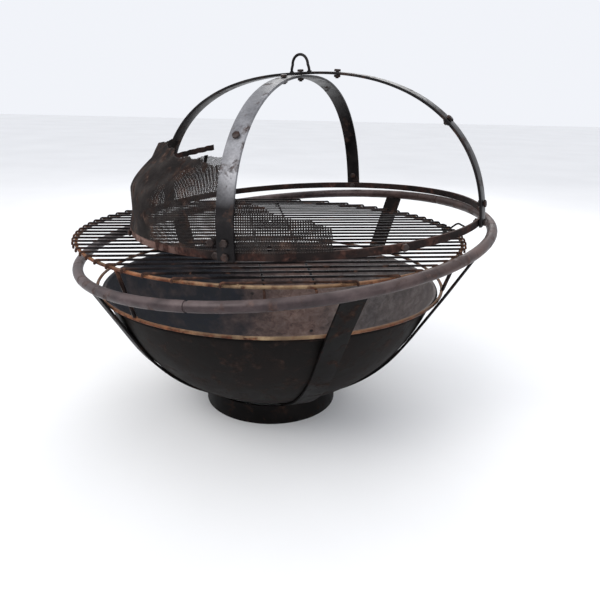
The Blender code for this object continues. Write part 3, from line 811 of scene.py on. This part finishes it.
def arch_line(radius, rise, steps=72):
    """The arch's middle line from one foot over the crown to the other: (outwards, up)."""
    power = 2 / GUARD_FULLNESS
    line = []
    for i in range(2 * steps + 1):
        angle = pi * i / (2 * steps)
        out = abs(cos(angle)) ** power * radius
        line.append((out if i <= steps else -out, abs(sin(angle)) ** power * rise))
    return line


def arch(node, turn, rise):
    """Flat strap bent over the guard's crown; turn is the direction of one of its feet."""
    across = Vector((-sin(turn), cos(turn), 0))
    line = arch_line(ARCH_OUT - HALF_BAR - WITHIN, rise - HALF_BAR - WITHIN)
    path = [(out * cos(turn), out * sin(turn), up) for out, up in line]
    piece = sweep(node + "_strap", path, rounded_bar(ARCH_WIDTH, BAR_THICKNESS, 0.0007), across=across)
    uneven(piece, 0.00012, 45)
    finish_piece(piece, guard_place, [guard_paint], "guard", [node])


arch("upper_arch", 0.0, UPPER_TOP)
arch("lower_arch", FRONT, LOWER_TOP)

hoop_path = ring_path(HOOP_OUT - HALF_BAR - WITHIN, 220, HOOP_TOP / 2)
hoop_section = rounded_bar(HOOP_TOP - 2 * WITHIN, BAR_THICKNESS, 0.0006)
hoop = sweep("guard_hoop_band", hoop_path, hoop_section, across=UP, closed=True)
uneven(hoop, 0.0002, 40)
finish_piece(hoop, guard_place, [hoop_rust], "guard", ["guard_hoop"])


def skin_out(height, rise=LOWER_TOP - HALF_BAR):
    """Distance of an arch's middle line from the guard's axis at a height."""
    share = min(max(height / rise, 0.0), 0.999)
    return (ARCH_OUT - HALF_BAR) * (1 - share ** GUARD_FULLNESS) ** (1 / GUARD_FULLNESS)


def panel_edges(node):
    """Azimuths of a mesh panel's columns, and the top of each."""
    points = local(guard_place, node)
    azimuths = np.arctan2(points[:, 1], points[:, 0]) % (2 * pi)
    columns = {}
    for azimuth, height in zip(azimuths, points[:, 2]):
        key = round(float(azimuth), 3)
        columns[key] = max(columns.get(key, 0.0), float(height))
    found = sorted(columns)
    return found, [columns[key] for key in found]


def heights_by_length():
    """Heights up the skin at even steps of half a mesh opening along its slope."""
    heights = [HOOP_TOP - 0.0014]
    while heights[-1] < LOWER_TOP * 0.7:
        here = heights[-1]
        slope = (skin_out(here) - skin_out(here + 0.0005)) / 0.0005
        heights.append(here + HOLE_PITCH / 2 / hypot(1, slope))
    return heights


SKIN_HEIGHTS = heights_by_length()


def mesh_panel(node, torn, seed, strand, slump=0.0):
    """Diamond mesh laid on the inside of the guard's skin, with dents, a ragged top edge and a few holes.

    torn is how ragged its top is, strand the thickness of its strands, and slump how far its upper part
    has sunk inwards."""
    azimuths, tops = panel_edges(node)
    start, end = azimuths[0] + 0.002, azimuths[-1] - 0.002
    columns = int((end - start) * skin_out(0.03) / HOLE_PITCH)
    inset = HALF_BAR + MESH_INSET
    work = bmesh.new()
    grid = {}

    def corner(i, j):
        if (i, j) not in grid:
            azimuth = start + (end - start) * i / (2 * columns)
            height = SKIN_HEIGHTS[j]
            spot = Vector((cos(azimuth), sin(azimuth), height * 5))
            from_left_foot = abs(azimuth - pi)
            free = min(1.0, j / 12) * min(1.0, max(0.0, (from_left_foot - radians(16)) / radians(10)))
            dent = 0.010 * max(0.0, noise.noise(spot * 2.6 + Vector((seed, 0, 0))))
            sunk = min(1.0, max(0.0, (height - SLUMP_FROM) / (SLUMP_TO - SLUMP_FROM)))
            radius = skin_out(height) - inset - free * (dent + slump * smooth(sunk))
            sway = 0.0005 * noise.noise(spot * 14)
            spot = (radius * cos(azimuth) + sway, radius * sin(azimuth) - sway, height)
            grid[i, j] = work.verts.new(spot)
        return grid[i, j]

    for j in range(1, len(SKIN_HEIGHTS) - 1):
        for i in range(1, 2 * columns):
            if (i + j) % 2:
                continue
            azimuth = start + (end - start) * i / (2 * columns)
            spot = Vector((azimuth * 9, SKIN_HEIGHTS[j] * 30, seed))
            edge = np.interp(azimuth, azimuths, tops) - torn * (0.5 + noise.noise(spot * 1.3))
            holed = noise.noise(spot * 2.1 + Vector((5, 5, 5))) > 0.62
            if SKIN_HEIGHTS[j + 1] <= edge and not holed:
                work.faces.new((corner(i - 1, j), corner(i, j - 1), corner(i + 1, j), corner(i, j + 1)))
    obj = object_from(node + "_netting", work)
    strands = obj.modifiers.new("strands", "WIREFRAME")
    strands.thickness = strand
    strands.use_even_offset = False
    strands.use_boundary = True
    finish_piece(obj, guard_place, [mesh_rust], "guard", [node])


mesh_panel("mesh_front_left", torn=0.006, seed=1.0, strand=0.0014, slump=0.034)
mesh_panel("mesh_front_right", torn=0.008, seed=4.0, strand=0.0019)
mesh_panel("mesh_back_left", torn=0.010, seed=7.0, strand=0.0015)


def band_remnant():
    """What is left of a flat band that once ran round the guard above the mesh, torn at both ends."""
    points = local(guard_place, "band_remnant")
    azimuths = np.arctan2(points[:, 1], points[:, 0]) % (2 * pi)
    start, end = float(azimuths.min()), float(azimuths.max())
    steps = 30
    path = []
    scales = []
    for i in range(steps + 1):
        azimuth = start + (end - start) * i / steps
        near = points[np.abs(azimuths - azimuth) < (end - start) / 8]
        reach = float(np.hypot(near[:, 0], near[:, 1]).mean())
        height = float(near[:, 2].max() + near[:, 2].min()) / 2
        path.append((reach * cos(azimuth), reach * sin(azimuth), height))
        scales.append(0.86 + 0.08 * noise.noise(Vector((i * 0.4, 0, 0))))
    section = rounded_bar(BAND_WIDTH, BAND_THICKNESS, 0.0005)
    piece = sweep("band_remnant_strip", path, section, across=UP, scales=scales)
    uneven(piece, 0.0003, 70)
    finish_piece(piece, guard_place, [hoop_rust], "guard", ["band_remnant"])


band_remnant()


def stacked(work, rings):
    """Close a stack of rings into a solid."""
    rings = [[work.verts.new(spot) for spot in ring] for ring in rings]
    for low, high in zip(rings, rings[1:]):
        for k in range(len(low)):
            after = (k + 1) % len(low)
            work.faces.new((low[k], low[after], high[after], high[k]))
    work.faces.new(rings[0])
    work.faces.new(rings[-1])


def bolt_piece(name, spot, facing, grip, nodes=()):
    """Hexagon head and nut on a threaded shank; facing is the direction the head looks."""
    work = bmesh.new()
    seat = grip / 2 + 0.0006
    top = BOLT_HEAD_HEIGHT
    for sign in (1, -1):
        stacked(work, [ring_path(BOLT_HEAD_RADIUS * share, 6, sign * (seat + level))
                       for level, share in ((0.0, 0.97), (0.0003, 1.0), (top - 0.0007, 1.0), (top, 0.80))])
    turns = 40
    start = -seat - BOLT_HEAD_HEIGHT - BOLT_END
    end = seat + 0.0002
    stacked(work, [ring_path(BOLT_RADIUS * (0.97 if i % 2 else 0.86), 12, start + (end - start) * i / turns)
                   for i in range(turns + 1)])
    bmesh.ops.recalc_face_normals(work, faces=work.faces)
    obj = object_from(name, work)
    turn = UP.rotation_difference(Vector(facing)).to_matrix().to_4x4()
    obj.data.transform(Matrix.Translation(spot) @ turn)
    finish_piece(obj, guard_place, [bolt_steel], "guard", nodes, sharp=25)


def away(azimuth):
    """Level direction away from the guard's axis."""
    return Vector((cos(azimuth), sin(azimuth), 0))


def skin_facing(azimuth, height, rise):
    """Direction square to an arch at a height."""
    step = 0.001
    fall = skin_out(height - step, rise) - skin_out(height + step, rise)
    return (away(azimuth) * 2 * step + UP * fall).normalized()


def node_middle(node):
    """Middle of a node's box in the guard's frame."""
    points = local(guard_place, node)
    return Vector((points.max(0) + points.min(0)) / 2)


LOWER_RISE = LOWER_TOP - HALF_BAR
UPPER_RISE = UPPER_TOP - HALF_BAR
HEAD_OUT = 0.001                 # how far a bolt is set towards its head from its node's middle

for number in range(1, 5):
    middle = node_middle("foot_bolt_%d" % number)
    facing = away(atan2(middle.y, middle.x))
    bolt_piece("foot_bolt_%d_hex" % number, middle + facing * HEAD_OUT, facing, FOOT_GRIP,
               ["foot_bolt_%d" % number])
bolt_piece("crown_bolt_hex", node_middle("crown_bolt") + UP * HEAD_OUT, UP, CROWN_GRIP, ["crown_bolt"])
middle = node_middle("band_bolt")
facing = skin_facing(atan2(middle.y, middle.x), middle.z, LOWER_RISE)
bolt_piece("band_bolt_hex", middle + facing * HEAD_OUT, facing, BAR_THICKNESS, ["band_bolt"])


def on_skin(azimuth, height, offset=0.0, rise=LOWER_RISE):
    """A spot on the arches' middle surface, or moved outwards from it."""
    return away(azimuth) * (skin_out(height, rise) + offset) + UP * height


# bolts that hold the mesh to the hoop, as an azimuth and a height
for number, (azimuth, height) in enumerate((
        (FRONT - radians(3.1), HOOP_TOP * 0.5), (FRONT - radians(4.3), 0.0252),
        (FRONT - radians(48), HOOP_TOP * 0.5), (FRONT + radians(46), HOOP_TOP * 0.5)), 1):
    bolt_piece("mesh_bolt_%d" % number, on_skin(azimuth, height, -0.0045), away(azimuth), MESH_GRIP)

# bolts left in the arches where bands once hung, as an azimuth, a share of the arch's rise, and the rise
for number, (azimuth, share, rise) in enumerate((
        (FRONT, 0.107, LOWER_RISE), (FRONT, 0.985, LOWER_RISE), (FRONT + pi, 0.115, LOWER_RISE),
        (0.0, 0.147, UPPER_RISE), (0.0, 0.67, UPPER_RISE), (0.0, 0.988, UPPER_RISE)), 1):
    height = share * rise
    bolt_piece("arch_bolt_%d" % number, on_skin(azimuth, height, rise=rise),
               skin_facing(azimuth, height, rise), BAR_THICKNESS)


def lifting_loop():
    """An upright U of wire standing on the upper arch."""
    points = local(guard_place, "lifting_loop")
    half = float(points[:, 0].max()) - LOOP_WIRE - WITHIN
    low = float(points[:, 2].min()) + WITHIN
    top = float(points[:, 2].max()) - LOOP_WIRE - 0.0004
    drop = half * 0.94
    bow = [(half * 0.85 * cos(pi * i / 28), top - drop + drop * sin(pi * i / 28)) for i in range(29)]
    path = [(half, low), (half * 0.97, low + 0.006)] + bow + [(-half * 0.97, low + 0.006), (-half, low)]
    piece = bar("lifting_loop_wire", [(x, 0, z) for x, z in path], LOOP_WIRE, 16)
    finish_piece(piece, guard_place, [guard_paint], "guard", ["lifting_loop"])
    feet = [bead((side * half, 0, low + 0.0008), (0.0042, 0.0036, 0.0018), side * 5.0) for side in (-1, 1)]
    finish_piece(joined("loop_welds", feet), guard_place, [guard_paint], "guard")


lifting_loop()


def band_post():
    """A stub of the old mesh frame, still hanging from the torn band."""
    points = local(guard_place, "band_remnant")
    azimuths = np.arctan2(points[:, 1], points[:, 0]) % (2 * pi)
    azimuth = float(azimuths.min()) + radians(3.5)
    top = float(points[:, 2].min()) + 0.004
    path = []
    for i in range(9):
        share = i / 8
        path.append(on_skin(azimuth + radians(0.5) * share, top - STUB_LENGTH * share, -HALF_BAR - 0.0075))
    across = Vector((-sin(azimuth), cos(azimuth), 0))
    piece = sweep("band_post", path, rounded_bar(STUB_WIDTH, BAND_THICKNESS, 0.0005), across=across)
    finish_piece(piece, guard_place, [strap_paint], "guard")


band_post()


# ---- leg straps and base hoop -------------------------------------------------------------------
for node in [n for n in frame["nodes"] if n.startswith("leg_strap_")] + ["base_hoop"]:
    obj = frame["nodes"][node]
    obj.data.materials.clear()
    obj.data.materials.append(strap_paint)
    obj.data.shade_smooth()
    obj.data.set_sharp_from_angle(angle=radians(40))
    weld = obj.modifiers.new("weld", "WELD")
    weld.merge_threshold = 0.00002
    bevel = obj.modifiers.new("rolled_edges", "BEVEL")
    bevel.width = 0.0008
    bevel.segments = 3
    bevel.limit_method = "ANGLE"
    bevel.angle_limit = radians(45)
    bevel.harden_normals = True


# ---- floor, light and camera --------------------------------------------------------------------
bpy.ops.mesh.primitive_plane_add(size=30, location=(0, 0, 0))
floor = bpy.context.object
floor.name = "floor"
pale = Shading("pale_floor")
pale.link(pale.ramp(pale.noise(1.5), [(0.3, tone(240, 240, 240)), (0.7, tone(246, 246, 246))]),
          pale.shader.inputs["Base Color"])
pale.shader.inputs["Roughness"].default_value = 0.9
floor.data.materials.append(pale.material)

world = bpy.data.worlds.new("soft_sky")
world.use_nodes = True
sky = world.node_tree.nodes["Background"].inputs
sky["Color"].default_value = (0.93, 0.95, 1.0, 1.0)
sky["Strength"].default_value = 0.95
bpy.context.scene.world = world


def soft_light(name, place, size, power, colour):
    """Square area light aimed at the object's middle."""
    light = bpy.data.lights.new(name, "AREA")
    light.size = size
    light.energy = power
    light.color = colour
    obj = bpy.data.objects.new(name, light)
    obj.location = place
    obj.rotation_euler = (Vector((0, 0, 0.3)) - Vector(place)).to_track_quat("-Z", "Y").to_euler()
    bpy.context.scene.collection.objects.link(obj)


soft_light("key", (-1.6, -1.5, 2.2), 1.4, 38, (1.0, 0.985, 0.96))
soft_light("fill", (1.8, -1.8, 1.2), 1.8, 10, (0.95, 0.97, 1.0))
soft_light("back", (0.4, 2.2, 2.0), 1.6, 22, (1.0, 0.99, 0.97))

CAMERA_PLACE = (0.0321, -1.1051, 0.5744)
CAMERA_DOWN = radians(18.69)
CAMERA_ROLL = radians(1.27)
camera_data = bpy.data.cameras.new("camera")
camera_data.sensor_width = 36
camera_data.lens = 36
camera_data.clip_start = 0.05
camera = bpy.data.objects.new("camera", camera_data)
camera.matrix_world = (Matrix.Translation(CAMERA_PLACE) @ Matrix.Rotation(pi / 2 - CAMERA_DOWN, 4, "X")
                       @ Matrix.Rotation(CAMERA_ROLL, 4, "Z"))
bpy.context.scene.collection.objects.link(camera)
bpy.context.scene.camera = camera
bpy.context.scene.view_settings.view_transform = "Standard"

bpy.context.view_layer.update()
